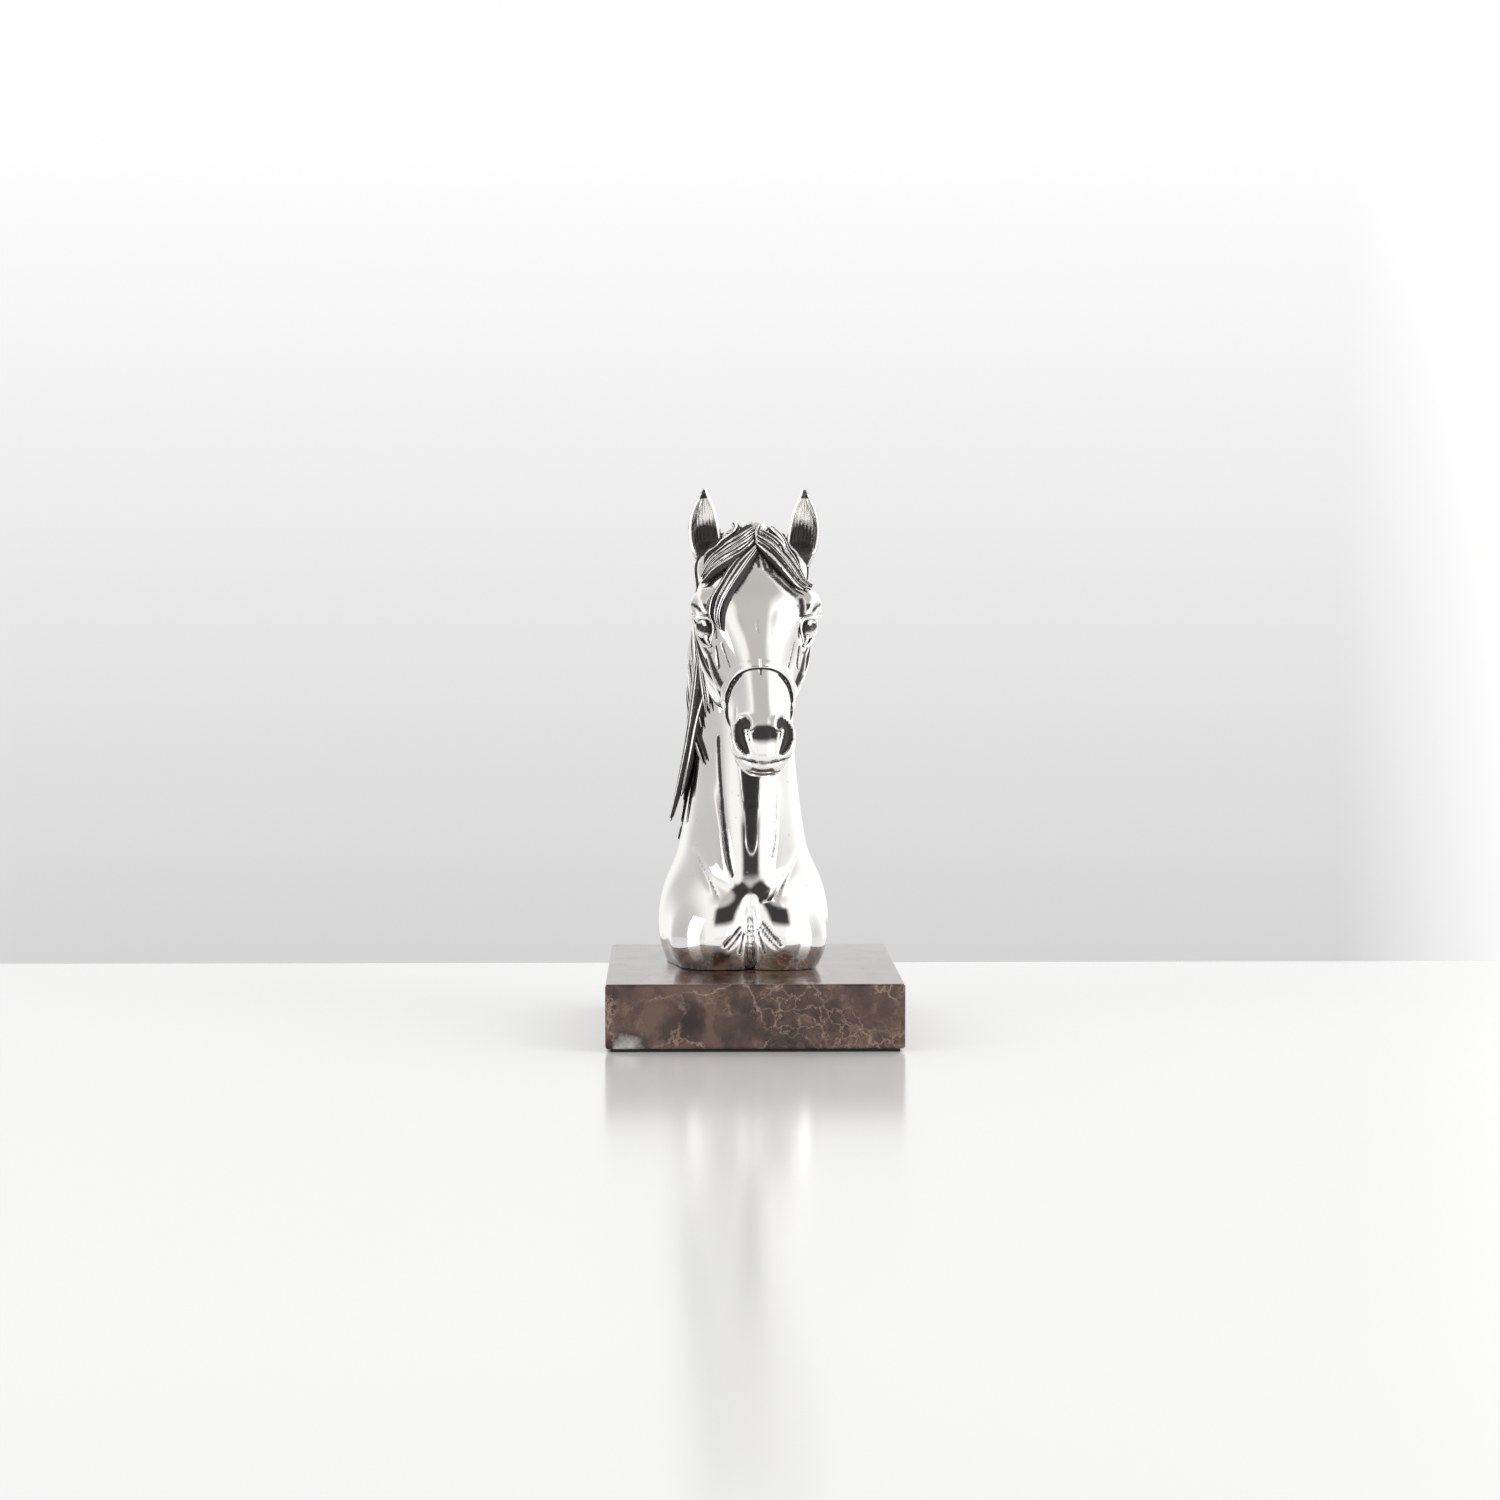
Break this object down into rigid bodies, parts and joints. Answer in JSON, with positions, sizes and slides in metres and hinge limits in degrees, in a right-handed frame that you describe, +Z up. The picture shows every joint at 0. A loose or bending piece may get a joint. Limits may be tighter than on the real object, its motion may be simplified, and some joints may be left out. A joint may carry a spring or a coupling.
{
  "type": "horse statuette",
  "caption": "Silvered horse head and neck with forelock, mane and halter, standing on a rectangular marble plinth with a felt underside.",
  "frame": {"origin": "middle of the felt's underside, which rests on the surface below", "axes": "+Z up, the horse looks along -Y, +X is the horse's left"},
  "size_m": [0.12, 0.16, 0.2267],
  "materials": {
    "silver": "polished silver plate, darkened in the recesses",
    "marble": "polished",
    "felt": "felt"
  },
  "bodies": {
    "root": {"horse_bust": "silver", "marble_plinth": "marble", "felt_pad": "felt"}
  },
  "joints": []
}
